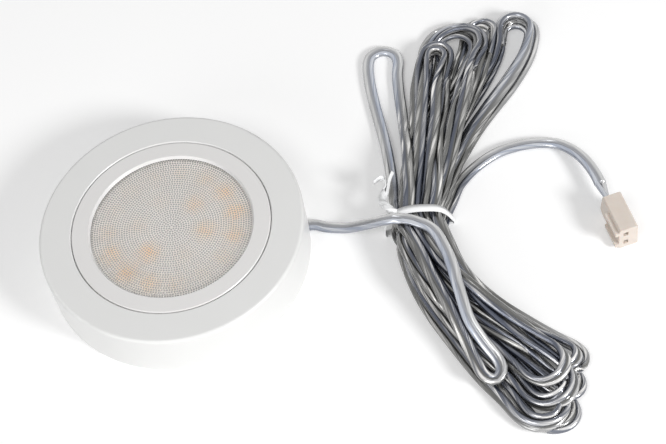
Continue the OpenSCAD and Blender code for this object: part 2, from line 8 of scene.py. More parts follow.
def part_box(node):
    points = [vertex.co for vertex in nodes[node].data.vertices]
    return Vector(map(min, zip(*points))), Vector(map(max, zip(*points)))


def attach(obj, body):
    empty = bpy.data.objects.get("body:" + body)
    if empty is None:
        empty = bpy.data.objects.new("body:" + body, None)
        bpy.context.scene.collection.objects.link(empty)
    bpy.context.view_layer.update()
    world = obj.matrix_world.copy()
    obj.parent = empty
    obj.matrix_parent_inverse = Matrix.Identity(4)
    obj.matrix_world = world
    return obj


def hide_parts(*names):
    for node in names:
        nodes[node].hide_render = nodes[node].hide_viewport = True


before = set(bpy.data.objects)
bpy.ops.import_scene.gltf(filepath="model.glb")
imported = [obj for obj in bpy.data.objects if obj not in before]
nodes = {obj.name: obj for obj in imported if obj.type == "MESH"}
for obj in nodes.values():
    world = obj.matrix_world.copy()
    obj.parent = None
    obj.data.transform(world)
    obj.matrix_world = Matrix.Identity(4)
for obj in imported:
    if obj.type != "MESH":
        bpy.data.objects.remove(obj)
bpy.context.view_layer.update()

mm = .001

# Camera and room

camera = {
    "place": (.04738, -.30391, .45553),
    "right": (.97887, -.17014, -.11346),
    "up": (.20449, .81442, .54308),
    "lens": 97.3,            # mm
    "sensor": 36,            # mm
    "clip": (.01, 20),       # m
}
room = {
    "floorColour": (.86, .86, .86, 1),
    "floorGlow": .25,        # what the camera sees of the floor even in full shadow
    "floorHalf": 4,          # m
    "skyLight": .33,
    "lamps": {               # place, aim, width in m, power in W
        "key": ((.68, -.6, .5), (.05, 0, 0), .26, 6.9),
        "left": ((-.9, -.9, .32), (0, 0, 0), .9, 5.0),
        "top": ((-.35, -.45, .9), (.04, 0, 0), .5, 2.4),
    },
}


def lookFrom(place, right, up):
    right, up = Vector(right).normalized(), Vector(up).normalized()
    back = right.cross(up).normalized()
    turn = Matrix((right, up, back)).transposed().to_4x4()
    return Matrix.Translation(Vector(place)) @ turn


lensData = bpy.data.cameras.new("photo_camera")
lensData.lens, lensData.sensor_width = camera["lens"], camera["sensor"]
lensData.clip_start, lensData.clip_end = camera["clip"]
eye = bpy.data.objects.new("photo_camera", lensData)
bpy.context.collection.objects.link(eye)
eye.matrix_world = lookFrom(camera["place"], camera["right"], camera["up"])
bpy.context.scene.camera = eye
bpy.context.scene.view_settings.view_transform = "Standard"


def softBox(name, place, aim, width, power):
    data = bpy.data.lights.new(name, "AREA")
    data.shape, data.size, data.energy = "DISK", width, power
    lamp = bpy.data.objects.new(name, data)
    bpy.context.collection.objects.link(lamp)
    lamp.location = place
    lamp.rotation_euler = (Vector(aim) - Vector(place)).to_track_quat("-Z", "Y").to_euler()


for name, values in room["lamps"].items():
    softBox(name + "_light", *values)


def seenPart(tree, light):
    """The second of two lights for what the camera sees, directly or in a reflection, and the first for the rest."""
    path = tree.nodes.new("ShaderNodeLightPath")
    most = path.outputs["Is Camera Ray"]
    for name in ("Is Glossy Ray", "Is Transmission Ray"):
        larger = tree.nodes.new("ShaderNodeMath")
        larger.operation = "MAXIMUM"
        tree.links.new(most, larger.inputs[0])
        tree.links.new(path.outputs[name], larger.inputs[1])
        most = larger.outputs[0]
    span = tree.nodes.new("ShaderNodeMapRange")
    span.inputs["To Min"].default_value, span.inputs["To Max"].default_value = light
    tree.links.new(most, span.inputs["Value"])
    return span.outputs["Result"]


sky = bpy.data.worlds.new("pale_studio")
bpy.context.scene.world = sky
sky.use_nodes = True
air = sky.node_tree.nodes["Background"]
air.inputs["Color"].default_value = (1, 1, 1, 1)
sky.node_tree.links.new(seenPart(sky.node_tree, (room["skyLight"], 1)), air.inputs["Strength"])

wide = room["floorHalf"]
ground = bpy.data.meshes.new("floor")
ground.from_pydata([(-wide, -wide, 0), (wide, -wide, 0), (wide, wide, 0), (-wide, wide, 0)], [], [(0, 1, 2, 3)])
floor = bpy.data.objects.new("floor", ground)
bpy.context.collection.objects.link(floor)
floorPaper = bpy.data.materials.new("floor_paper")
floorPaper.use_nodes = True
tree = floorPaper.node_tree
tree.nodes.clear()
paper, shine, both, out = (tree.nodes.new("ShaderNode" + kind)
                           for kind in ("BsdfDiffuse", "Emission", "AddShader", "OutputMaterial"))
paper.inputs["Color"].default_value = room["floorColour"]
tree.links.new(seenPart(tree, (0, room["floorGlow"])), shine.inputs["Strength"])
tree.links.new(paper.outputs[0], both.inputs[0])
tree.links.new(shine.outputs[0], both.inputs[1])
tree.links.new(both.outputs[0], out.inputs["Surface"])
floor.data.materials.append(floorPaper)
print("camera and room made")

# Helpers for materials and pieces


def setInput(tree, socket, value):
    """Links an output to the socket, or writes a plain value into it."""
    if hasattr(value, "is_linked"):
        tree.links.new(value, socket)
    else:
        socket.default_value = value


def finish(name, **sockets):
    """A new material, its node tree and its shader, with these values set on the shader."""
    material = bpy.data.materials.new(name)
    material.use_nodes = True
    tree = material.node_tree
    shader = tree.nodes["Principled BSDF"]
    for socket, value in sockets.items():
        shader.inputs[socket.replace("_", " ")].default_value = value
    return material, tree, shader


def node(tree, kind, inputs=None, **settings):
    made = tree.nodes.new("ShaderNode" + kind)
    for key, value in settings.items():
        setattr(made, key, value)
    for key, value in (inputs or {}).items():
        setInput(tree, made.inputs[key], value)
    return made


def reckon(tree, operation, a, b=0.0):
    return node(tree, "Math", {0: a, 1: b}, operation=operation).outputs[0]


def blendOf(tree, share, first, second):
    """A colour between two others. The colour sockets of a Mix node are its seventh and eighth."""
    mix = node(tree, "Mix", {"Factor": share, 6: first, 7: second}, data_type="RGBA")
    return mix.outputs[2]


def spread(tree, value, low, high, toLow=0.0, toHigh=1.0):
    ends = {"Value": value, "From Min": low, "From Max": high, "To Min": toLow, "To Max": toHigh}
    return node(tree, "MapRange", ends).outputs[0]


def mark(tree, name):
    """What the mesh attribute of this name says."""
    return node(tree, "Attribute", attribute_name=name).outputs["Fac"]


def noise(tree, where, scale=1.0, detail=2.0, roughness=.5):
    inputs = {"Vector": where, "Scale": scale, "Detail": detail, "Roughness": roughness}
    return node(tree, "TexNoise", inputs).outputs["Fac"]


def grain(tree, size, detail=2.0):
    """Noise with features of about size mm."""
    return noise(tree, node(tree, "TexCoord").outputs["Object"], 1000 / size, detail)


def relief(tree, shader, height, strength, depth):
    bump = node(tree, "Bump", {"Height": height, "Strength": strength, "Distance": depth * mm})
    tree.links.new(bump.outputs["Normal"], shader.inputs["Normal"])


def mottled(name, patches, first, second, bumps=None, **sockets):
    """A material that drifts between two colours, over patches of a size in mm and a detail.

    bumps has its size and detail too, and then its strength and its depth in mm.
    """
    material, tree, shader = finish(name, **sockets)
    tree.links.new(blendOf(tree, grain(tree, *patches), first, second), shader.inputs["Base Color"])
    if bumps:
        size, detail, strength, depth = bumps
        relief(tree, shader, grain(tree, size, detail), strength, depth)
    return material


def dress(names, material):
    for name in names:
        slots = nodes[name].data.materials
        slots.clear()
        slots.append(material)


def ride(name, mesh, slot):
    piece = bpy.data.objects.new(name, mesh)
    bpy.context.collection.objects.link(piece)
    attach(piece, "root")
    return piece


def place(name, vertices, faces, material, slot):
    """A new smooth piece from points in mm, riding on the body."""
    mesh = bpy.data.meshes.new(name)
    mesh.from_pydata([tuple(v) for v in np.asarray(vertices) * mm], [], faces)
    mesh.update()
    mesh.polygons.foreach_set("use_smooth", [True] * len(mesh.polygons))
    mesh.materials.append(material)
    return ride(name, mesh, slot)


def keepMarks(piece, name, values):
    marks = piece.data.attributes.new(name, "FLOAT", "POINT").data
    marks.foreach_set("value", np.asarray(values, np.float32))


# Lead

cable = {
    "coreWidth": 1.8,        # mm over the insulation of one core
    "corePitch": 1.9,        # mm between the two cores
    "step": 1.25,            # mm between rings
    "webHalf": .42,          # half the web's thickness, as a share of a core's radius
    "seed": 7,
}
settling = {
    "steps": 280,
    "lastSteps": 89,         # of these, the ones in which nothing falls any more
    "drop": .14,             # mm that a raised turn falls in a step
    "held": (40, 66),        # mm that keep their planned place at the lamp and at the connector
    "clear": .04,            # mm between cores that lie against each other
    "overFloor": .03,        # mm
    "watch": 1.1,            # mm over which two cores may come close between two searches
    "searchEvery": 4,        # steps
    "along": 5,              # mm of lead within which two points aren't pushed apart
    "restGap": .08,          # mm within which one core rests on another
    "restSlope": .35,        # height over distance from which it does
    "pushMore": 1.4,         # how much of their overlap two cores are pushed apart in a step
    "restHold": .94,         # share of the fall that a resting core is spared
    "inward": .992,          # share of its sideways move that a turn keeps from step to step
    "stiffness": .25,        # how fast a bend evens out
    "climb": .3,             # how fast the lead takes its own curve where it climbs
    "climbHold": .7,         # share of its sideways move that it keeps there
}
winding = {
    "waist": np.array([72.8, -8.0]),    # x, y in mm where the bundle is tied
    # the same along the middle of the bundle below it
    "below": np.array([(72.8, -8), (73, -22), (76.4, -36), (83, -50), (91.6, -64), (99, -77)], float),
    "legPoints": (.12, .28, .44, .6, .76, .9),   # where a leg has its points, as shares of its length
    "tipTurns": (0, 45, 90, 135, 180),  # degrees
    "tipFrom": .72,          # share of a leg from which the lead rolls onto its edge
    "floor": .95,            # mm from the floor to the middle of a core
    "layer": 1.95,           # mm between the layers at the waist
    "rise": 2.0,             # mm between the turns at their tips
    "ramp": 2.2,             # how fast a leg reaches its tip's height
    "fan": .85,              # power with which a leg leaves the waist
    "rollOver": .25,         # share of a leg in which it rolls
    "crossings": ((67.8, 77.4), (71.0, 74.2)),   # x where a turn's two legs cross the waist, outer and inner
    "topCrossing": (66.2, 69.6),
    "jitter": .3,            # mm by which each crossing may lie off
    "lastCut": 3,            # points of the lowest turn's last leg that the tail replaces
}
# from the clamp to the wound part, over it, and from there to the connector: x, y, z in mm
leadRoute = [
    (31.3, 0, .95), (34, 0, .95), (38, 0, .95), (42, -.5, .95), (45.3, -2.3, 1.1), (51.1, -5.0, 2.6),
    (56.2, -7.1, 5.4), (60.5, -8.9, 8.3), (63.9, -10.4, 10.8),
]
overRoute = [
    (67.2, -11.5, 12.2), (71.1, -14.0, 17), (75.4, -18.1, 19.5), (77.6, -25.5, 22.5), (78.6, -33, 26), (79, -41, 28),
    (79.6, -49, 28.5), (82, -55.5, 28), (84.9, -61, 27), (85.5, -64.8, 26.7), (83.2, -67.2, 26.5), (80.4, -65, 26.4),
    (78.9, -59.5, 26.3), (76.4, -49, 26.2), (72.8, -36, 26.1), (69.8, -22, 26),
]
tailRoute = [
    (70.6, -36, .95), (73.2, -26, .95), (76.2, -16.5, .95), (79.2, -8.5, .95), (83.1, -2.7, 1.0), (87.4, 3.1, 1.0),
    (93.7, 8.2, 1.1), (101.6, 11.6, 1.4), (110.3, 12.3, 1.6), (117.9, 10.7, 1.8), (122.4, 7.0, 2.6), (125.6, 1.2, 3.7),
    (127.4, -5.2, 4.4), (128.2, -11, 4.6), (128.6, -16.9, 4.6),
]
# one row for each turn, from the bottom up: upper end, half width and bow of its loop, lower end and half width
turns = [
    ((118.8, 62.0), 5.7, 3.6, (98.6, -82.6), 6.8),
    ((118.2, 60.2), 4.0, 3.2, (98.2, -80.8), 5.0),
    ((118.4, 60.8), 4.9, 3.2, (103.6, -74.6), 5.4),
    ((107.6, 63.0), 4.8, 1.6, (103.2, -72.8), 3.6),
    ((107.1, 61.1), 3.0, 1.4, (96.4, -82.2), 7.2),
    ((100.8, 62.0), 9.2, -.6, (96.2, -80.4), 5.4),
    ((100.4, 60.2), 7.4, -.6, (107.4, -67.4), 5.2),
    ((100.0, 58.4), 5.7, -.6, (106.8, -65.8), 3.4),
    ((92.0, 55.4), 4.6, -1.0, (100.4, -77.0), 7.0),
    ((91.5, 53.6), 2.8, -1.0, (100.0, -75.2), 5.2),
    ((74.5, 60.0), 4.8, -1.5, (100.6, -70.5), 6.0),
]


def lengths(points):
    """How far along the line each point lies."""
    return np.r_[0, np.cumsum(np.linalg.norm(np.diff(points, axis=0), axis=1))]


def unit(vectors):
    return vectors / np.linalg.norm(vectors, axis=1)[:, None]


def spline(points, step):
    """A smooth line through the points, in even steps."""
    p = np.asarray(points, float)
    q = np.vstack([2 * p[0] - p[1], p, 2 * p[-1] - p[-2]])
    pieces = []
    for i in range(1, len(q) - 2):
        a, b, c, d = q[i - 1:i + 3]
        count = max(int(np.linalg.norm(c[:3] - b[:3]) / step * 3), 2)
        t = np.linspace(0, 1, count, endpoint=False)[:, None]
        pieces.append(.5 * (2 * b + (c - a) * t + (2 * a - 5 * b + 4 * c - d) * t * t
                            + (3 * b - a - 3 * c + d) * t ** 3))
    line = np.vstack(pieces + [p[-1:]])
    far = lengths(line[:, :3])
    at = np.linspace(0, far[-1], int(far[-1] / step) + 1)
    return np.stack([np.interp(at, far, line[:, k]) for k in range(line.shape[1])], 1)


def upperAxis(end, bow):
    """Middle line of a loop above the waist, from 0 at the waist to 1 at its tip."""
    waist = winding["waist"]
    run = np.array(end) - waist
    side = np.array([run[1], -run[0]]) / np.linalg.norm(run)
    return lambda s: waist + run * s + side * (bow * np.sin(np.pi * s ** 3)
                                               - .55 * bow * np.sin(np.pi * s) * (1 - s) * 1.6)


def lowerAxis(end):
    """The same for a loop below the waist."""
    guide = winding["below"]
    reach = lengths(guide)
    shift = np.array(end) - guide[-1]
    return lambda s: np.array([np.interp(s * reach[-1], reach, guide[:, k]) for k in (0, 1)]) + shift * s ** 1.5


def loop(axis, half, fromX, toX, zStart, zEnd, tilt=1):
    """Out along one side of the axis, clockwise round its end and back along the other."""
    stop, nudge = 1 - half / np.linalg.norm(axis(1) - axis(0)), .02
    legs = []
    for x0, side in ((fromX, 1), (toX, -1)):
        leg = []
        for s in winding["legPoints"]:
            run = axis(s * stop + nudge) - axis(s * stop - nudge)
            across = np.array([-run[1], run[0]]) / np.linalg.norm(run) * side
            away = s ** winding["fan"]
            spot = (axis(s * stop) + across * half * away) + np.array([x0 - winding["waist"][0], 0]) * (1 - away)
            roll = tilt * np.clip((s - winding["tipFrom"]) / winding["rollOver"], 0, 1)
            leg.append((*spot, zStart + (zEnd - zStart) * min(1, s * winding["ramp"]), roll, 0))
        legs.append(leg[::side])
    run = axis(1) - axis(stop - nudge)
    run /= np.linalg.norm(run)
    across = np.array([-run[1], run[0]])
    centre = axis(1) - run * half
    tip = [(*(centre + half * (run * np.sin(a) + across * np.cos(a))), zEnd, tilt, 0)
           for a in np.radians(winding["tipTurns"])]
    return legs[0] + tip + legs[1]


def planned():
    """x, y, z, roll and climb of the whole lead before it settles. climb is 1 where it takes its own curve."""
    rng = np.random.default_rng(cable["seed"])
    points = [(*p, 0, 0) for p in leadRoute]
    points += [(*p, 0, 0 < k < 3 or k > len(overRoute) - 3) for k, p in enumerate(overRoute)]
    waistY, jitter = winding["waist"][1], winding["jitter"]
    for k in range(len(turns) - 1, -1, -1):
        up, halfUp, bow, low, halfLow = turns[k]
        isTop = k == len(turns) - 1
        left, right = winding["topCrossing"] if isTop else winding["crossings"][k % 2]
        left, right = left + rng.uniform(-jitter, jitter), right + rng.uniform(-jitter, jitter)
        zMid = winding["floor"] + winding["layer"] * (k // 2 + 1)
        zTip = winding["floor"] + winding["rise"] * (k + 1)
        points.append((left, waistY, zMid, 0, isTop))
        points += loop(upperAxis(up, bow), halfUp, left, right, zMid, zTip, not isTop)
        points.append((right, waistY, zMid, 0, 0))
        points += loop(lowerAxis(low), halfLow, right, left, zMid, zTip)[:-winding["lastCut"] if k == 0 else None]
    points += [(*p, 0, 0) for p in tailRoute]
    return spline(points, cable["step"])


def near(points, reach):
    """Pairs of points closer than reach, found by sorting the points into cells."""
    cell = np.floor(points / reach).astype(np.int64)
    cell -= cell.min(0) - 1
    size = cell.max(0) + 3
    key = (cell[:, 0] * size[1] + cell[:, 1]) * size[2] + cell[:, 2]
    order = np.argsort(key, kind="stable")
    keys = key[order]
    first, second = [], []
    for dx, dy, dz in np.ndindex(3, 3, 3):
        dx, dy, dz = dx - 1, dy - 1, dz - 1
        if (dx, dy, dz) < (0, 0, 0):
            continue
        wanted = key + (dx * size[1] + dy) * size[2] + dz
        start = np.searchsorted(keys, wanted, "left")
        count = np.searchsorted(keys, wanted, "right") - start
        i = np.repeat(np.arange(len(points)), count)
        j = order[np.repeat(start, count) + np.arange(len(i)) - np.repeat(np.cumsum(count) - count, count)]
        if (dx, dy, dz) == (0, 0, 0):
            i, j = i[i < j], j[i < j]
        first.append(i)
        second.append(j)
    i, j = np.concatenate(first), np.concatenate(second)
    close = np.linalg.norm(points[i] - points[j], axis=1) < reach
    return i[close], j[close]


def settled(plan):
    """The two cores' lines once the turns have fallen onto each other and lie clear."""
    line, roll, climbs = plan[:, :3], plan[:, 3] * np.pi / 2, np.flatnonzero(plan[:, 4] > .3)
    n, width, step = len(line), cable["coreWidth"] + settling["clear"], cable["step"]
    pitch, lowest = cable["corePitch"], cable["coreWidth"] / 2 + settling["overFloor"]
    run = np.gradient(line, axis=0)
    flat = unit(np.cross(run, (0, 0, 1.0)))
    up = unit(np.cross(flat, run))
    side = flat * np.cos(roll)[:, None] + up * np.sin(roll)[:, None]
    start = np.vstack([line - side * pitch / 2, line + side * pitch / 2])
    start[:, 2] = np.maximum(start[:, 2], lowest)
    at = np.arange(n) * step
    held = (at < settling["held"][0]) | (at > at[-1] - settling["held"][1])
    held = np.r_[held, held]
    moved = np.zeros_like(start)
    for turn in range(settling["steps"]):
        now = start + moved
        if turn % settling["searchEvery"] == 0:
            i, j = near(now, width + settling["watch"])
            apart = np.abs(i % n - j % n) * step > settling["along"]
            i, j = i[apart], j[apart]
        gap = now[i] - now[j]
        distance = np.linalg.norm(gap, axis=1) + 1e-9
        hit = distance < width
        push = gap[hit] / distance[hit][:, None] * ((width - distance[hit]) / 2)[:, None]
        touch = distance < width + settling["restGap"]
        steep = np.abs(gap[touch, 2]) > settling["restSlope"] * distance[touch]
        upper = np.where(gap[touch, 2] > 0, i[touch], j[touch])[steep]
        rests = np.zeros(2 * n)
        rests[upper] = 1
        rests[:n] = rests[n:] = np.maximum(rests[:n], rests[n:])
        total = np.stack([np.bincount(i[hit], push[:, k], 2 * n) - np.bincount(j[hit], push[:, k], 2 * n)
                          for k in range(3)], 1)
        count = np.bincount(i[hit], minlength=2 * n) + np.bincount(j[hit], minlength=2 * n)
        moved += total / np.maximum(count, 1)[:, None] * settling["pushMore"]
        last = turn >= settling["steps"] - settling["lastSteps"]
        if not last:
            moved[:, 2] -= settling["drop"] * (1 - settling["restHold"] * rests)
            moved[:, :2] *= settling["inward"]
        # the lead is springy: what moves is spread along it
        for a in (0, n):
            part = moved[a:a + n]
            for _ in range(1 if last else 2):
                part[1:-1] += settling["stiffness"] * (part[2:] + part[:-2] - 2 * part[1:-1])
        # where the lead climbs onto the bundle it takes its own curve
        now = start + moved
        for a in (0, n):
            part = now[a:a + n]
            for _ in range(3):
                part[climbs, 2] += settling["climb"] * (part[climbs + 1, 2] + part[climbs - 1, 2] - 2 * part[climbs, 2])
            moved[a:a + n] = part - start[a:a + n]
            moved[a + climbs, :2] *= settling["climbHold"]
        # the cores stay side by side
        now = start + moved
        across = now[n:] - now[:n]
        distance = np.linalg.norm(across, axis=1)[:, None]
        mend = across * (distance - pitch) / distance * .5
        moved[:n] += mend
        moved[n:] -= mend
        moved[:, 2] = np.maximum(moved[:, 2], lowest - start[:, 2])
        moved[held] = 0
    now = start + moved
    i, j = near(now, cable["coreWidth"])
    apart = np.abs(i % n - j % n) * step > settling["along"]
    into = cable["coreWidth"] - np.linalg.norm(now[i[apart]] - now[j[apart]], axis=1)
    print("places pressed together:", len(into), "over .5 mm:", int((into > .5).sum()),
          "deepest:", round(float(into.max(initial=0)), 3), "mm")
    return now[:n], now[n:]


def sweep(line, side, up, outline):
    """Points of a section carried along a line, a ring at a time."""
    return (line[:, None] + side[:, None] * outline[None, :, :1] + up[:, None] * outline[None, :, 1:]).reshape(-1, 3)


def twinSweep(left, right, side, up, outline):
    """The same for a section whose two halves sit on the two cores."""
    half = np.sign(outline[:, 0])[None, :, None]
    centre = np.where(half < 0, left[:, None], np.where(half > 0, right[:, None], (left + right)[:, None] / 2))
    offset = outline[:, 0] - np.sign(outline[:, 0]) * cable["corePitch"] / 2
    return (centre + side[:, None] * offset[None, :, None] + up[:, None] * outline[None, :, 1:]).reshape(-1, 3)


def ringFaces(rings, count, first=0):
    """Faces of a closed tube whose points start at first."""
    rows = [range(first + r * count, first + (r + 1) * count) for r in range(rings)]
    faces = [(low[i], low[(i + 1) % count], high[(i + 1) % count], high[i])
             for low, high in zip(rows, rows[1:]) for i in range(count)]
    return faces + [tuple(rows[0])[::-1], tuple(rows[-1])]


def twinSection(pitch, width):
    """Outline of two round cores joined by a thin web."""
    half = width / 2
    turn = np.radians(np.linspace(-132, 132, 9))
    right = np.stack([pitch / 2 + half * np.cos(turn), half * np.sin(turn)], 1)
    notch = np.array([[0, half * cable["webHalf"]]])
    return np.vstack([right, notch, -right, -notch])


def rampUp(values, start, over):
    """0 up to start and 1 from start + over on."""
    return np.clip((values - start) / over, 0, 1)


def evened(values, half):
    """A running mean over half values to each side."""
    return np.convolve(np.pad(values, half, "edge"), np.ones(2 * half + 1) / (2 * half + 1), "valid")


leftCore, rightCore = settled(planned())
middle = (leftCore + rightCore) / 2
along = lengths(middle)
print("lead settled:", round(along[-1] / 1000, 3), "m,", len(middle), "rings, highest",
      round(float(middle[:, 2].max()), 1), "mm")

jacket = {
    "lay": .03,              # turns of the strands round a core in each mm
    "strands": 16.0,
    "streaksAlong": .035,    # for each mm
    "streaksAround": 7.0,
    "milky": ((.50, .50, .50, 1), (.36, .40, .49, 1)),     # of each core, where the lead lies free
    "paintedShadeTone": ((.10, .10, .095, 1), (.05, .06, .09, 1)),     # each core's tone darkened as painted shade, for the lead in the bundle
    # silver strands, whose bright end shows as painted highlights in the bundle
    "silverAndHighlight": ((.16, .17, .20, 1), (1, .98, .95, 1)),
    "bare": (.86, .86, .86, 1),
    # painted shade at the cores' edges and in the groove between them
    "edge": (.12, .13, .16, 1),
    "milkyFor": 88,          # mm from the lamp where the lead lies over the rest and gets no painted bundle shade
    "milkyFade": 20,         # mm
    "crowdReach": 8.0,       # mm
    "crowdFrom": (.5, 3.5),  # turns close by where the painted bundle shade starts, and over which
    "bendFrom": (.05, .1),   # 1/mm, the same for the painted highlight at a bend
    "paintedSideLight": (78, 52, 1.25),   # painted light on the cores' broad sides: degrees round a core, half width in degrees and strength
}
clearLead, tree, shader = finish("clear_jacket_over_strands", Metallic=.6, Roughness=.2,
                                 Coat_Weight=1.0, Coat_Roughness=.05, Coat_IOR=1.5)
calc = partial(reckon, tree)
# marks that carry painted light on the cores' broad sides, painted shade in the bundle and painted highlights at bends
run, roundTurn, core, paintedSideLight, paintedBundleShade, bend = (mark(tree, name) for name in
                                            ("run_mm", "round_turn", "core", "paintedSideLight", "paintedBundleShade", "bend"))
# strands wind slowly round each core, so every streak runs at a small angle to the lead
lay = calc("ADD", calc("MULTIPLY", run, jacket["lay"]), roundTurn)
strand = calc("ABSOLUTE", calc("SUBTRACT", calc("FRACT", calc("MULTIPLY", lay, jacket["strands"])), .5))
streakPlace = node(tree, "CombineXYZ", {
    "X": calc("MULTIPLY", run, jacket["streaksAlong"]),
    "Y": calc("MULTIPLY", lay, jacket["streaksAround"]),
    "Z": calc("MULTIPLY", core, 3.0),
})
streaks = spread(tree, noise(tree, streakPlace.outputs[0], detail=5.0, roughness=.65), .42, .58)
stretchPlace = node(tree, "CombineXYZ", {"X": calc("MULTIPLY", run, .03), "Z": core})
stretch = spread(tree, noise(tree, stretchPlace.outputs[0]), .36, .64)
# each core's own tone where the lead lies free, and the same darkened as painted shade for the bundle
milky, paintedShadeTone = (blendOf(tree, core, *jacket[name]) for name in ("milky", "paintedShadeTone"))
# silver streaks of the strands, used as painted highlights
silverAndHighlight = blendOf(tree, streaks, *jacket["silverAndHighlight"])
free = blendOf(tree, calc("MULTIPLY", streaks, .55), milky, jacket["bare"])
# painted shade at the cores' edges and in the groove, away from their broad sides
free = blendOf(tree, calc("MULTIPLY", calc("SUBTRACT", 1.0, paintedSideLight), .6), free, jacket["edge"])
# streaks, and painted highlights where the lead bends
shown = calc("MAXIMUM", calc("MULTIPLY", streaks, stretch), bend)
# in the bundle: painted shade, with silver streaks as painted highlights on the broad sides
paintedShadeAndHighlight = blendOf(tree, calc("MULTIPLY", paintedSideLight, shown), paintedShadeTone, silverAndHighlight)
# painted shade and highlights where many turns lie close by
tree.links.new(blendOf(tree, paintedBundleShade, free, paintedShadeAndHighlight), shader.inputs["Base Color"])
relief(tree, shader, strand, .25, .03)

ends = {
    "length": 8,             # mm in which the two cores are parted
    "turn": np.radians(8),   # the connector's turn
    "back": (129.4, -16.8, .8),   # x, y of its back and how far the chambers lie from there, in mm
    "heights": (2.62, 6.58),   # mm, of the two chambers
    "into": 1.5,             # mm
    "rings": 14,             # sections along a core
    "corners": 12,           # of a section
    "pull": 8.0,             # mm, how far each end keeps its direction
    "slim": .96,             # share of a core's width once the jacket is off
}
split = int(np.searchsorted(along, along[-1] - ends["length"]))
heading = unit(np.gradient(middle, axis=0))
side = rightCore - leftCore
side -= heading * (side * heading).sum(1)[:, None]
side = unit(side)
up = np.cross(side, heading)
# the painted bundle shade is 1 where many turns lie close by, the painted highlight at a bend 1 where the lead turns
# sharply
i, j = near(middle, jacket["crowdReach"])
apart = np.abs(i - j) * cable["step"] > 2 * jacket["crowdReach"]
paintedBundleShadeMask = np.bincount(np.r_[i[apart], j[apart]], minlength=len(middle)) / (2 * jacket["crowdReach"] / cable["step"])
paintedBundleShadeMask = rampUp(evened(paintedBundleShadeMask, 6), *jacket["crowdFrom"]) * rampUp(along, jacket["milkyFor"], jacket["milkyFade"])
# how sharply the lead turns, which sets the painted highlight at bends
bending = np.linalg.norm(heading[4:] - heading[:-4], axis=1) / (4 * cable["step"])
bending = rampUp(evened(np.pad(bending, 2, "edge"), 8), *jacket["bendFrom"])

outline = twinSection(cable["corePitch"], cable["coreWidth"])
rings, count = split + 1, len(outline)
whichCore = np.sign(outline[:, 0])
around = np.arctan2(outline[:, 1], outline[:, 0] - whichCore * cable["corePitch"] / 2)
# painted light on the broad sides of the cores, painted shade at the edges and in the groove
broad = np.abs((np.degrees(around) * whichCore + (whichCore < 0) * 180 + 180) % 360 - 180)
crestAt, crestHalf, crestMost = jacket["paintedSideLight"]
paintedSideLightValues = np.clip(crestMost - ((broad - crestAt) / crestHalf) ** 2 * crestMost, 0, 1) * (whichCore != 0)
leadVertices = [twinSweep(leftCore[:rings], rightCore[:rings], side[:rings], up[:rings], outline)]
leadFaces = ringFaces(rings, count)
marks = {
    "run_mm": [np.repeat(along[:rings], count)],
    "round_turn": [np.tile(around / (2 * np.pi), rings)],
    "core": [np.tile((outline[:, 0] > 0).astype(float), rings)],
    "paintedSideLight": [np.tile(paintedSideLightValues, rings)],
    "paintedBundleShade": [np.repeat(paintedBundleShadeMask[:rings], count)],
    "bend": [np.repeat(bending[:rings], count)],
}
# the two cores part on the way into the connector's two chambers
backX, backY, chamber = ends["back"]
back = np.array([backX - chamber * np.cos(ends["turn"]), backY - chamber * np.sin(ends["turn"]), 0])
inward = np.array([np.sin(ends["turn"]), -np.cos(ends["turn"]), 0])
corners = ends["corners"]
coreTurns = np.arange(corners) * 2 * np.pi / corners
coreOutline = np.stack([np.cos(coreTurns), np.sin(coreTurns)], 1) * cable["coreWidth"] / 2 * ends["slim"]
t = np.linspace(0, 1, ends["rings"])[:, None]
for which, coreLine, z in zip((0, 1), (leftCore, rightCore), ends["heights"]):
    target = back + np.array([0, 0, z]) + inward * ends["into"]
    path = ((2 * t ** 3 - 3 * t ** 2 + 1) * coreLine[split - 1]
            + (t ** 3 - 2 * t ** 2 + t) * heading[split - 1] * ends["pull"]
            + (3 * t ** 2 - 2 * t ** 3) * target + (t ** 3 - t ** 2) * inward * ends["pull"])
    run = unit(np.gradient(path, axis=0))
    flat = unit(np.cross(run, (0, 0, 1.0)))
    first = sum(len(points) for points in leadVertices)
    leadVertices.append(sweep(path, flat, np.cross(flat, run), coreOutline))
    leadFaces += ringFaces(len(path), corners, first)
    marks["run_mm"].append(np.repeat(along[split] + t[:, 0] * 10, corners))
    marks["round_turn"].append(np.tile(np.arange(corners) / corners, len(path)))
    marks["core"].append(np.full(len(path) * corners, float(which)))
    # painted light and shade round the parted cores too
    marks["paintedSideLight"].append(np.tile(np.abs(np.sin(coreTurns + .4)), len(path)))
    # no painted bundle shade or bend highlight on the parted cores
    for name in ("paintedBundleShade", "bend"):
        marks[name].append(np.zeros(len(path) * corners))
lead = place("clear_lead", np.vstack(leadVertices), leadFaces, clearLead, "lead_clear")
for name, values in marks.items():
    keepMarks(lead, name, np.concatenate(values))
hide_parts("lead", "wound_lead", "lead_tail")
print("lead made")

# Paint, moulded plastic and metal of the CAD nodes

paints = {                   # material, colour, roughness, mm of grain and its strength
    ("surface_ring",): ("ring_paint", (.80, .80, .79, 1), .42, .45, .25),
    ("bezel",): ("bezel_paint", (.80, .79, .78, 1), .38, .45, .2),
    ("mounting_plate", "lead_clamp"): ("plate_plastic", (.72, .72, .70, 1), .5, .8, .35),
    ("reflector_tray",): ("reflector_plastic", (.86, .86, .84, 1), .25, .6, .1),
    ("led_board",): ("board_mask", (.84, .85, .82, 1), .3, .5, .1),
}
for names, (name, colour, roughness, size, strength) in paints.items():
    shade = tuple(c * .965 for c in colour[:3]) + (1,)
    dress(names, mottled(name, (14, 3), colour, shade, (size, 2, strength, .04),
                         Roughness=roughness, Coat_Weight=.25, Coat_Roughness=.3))

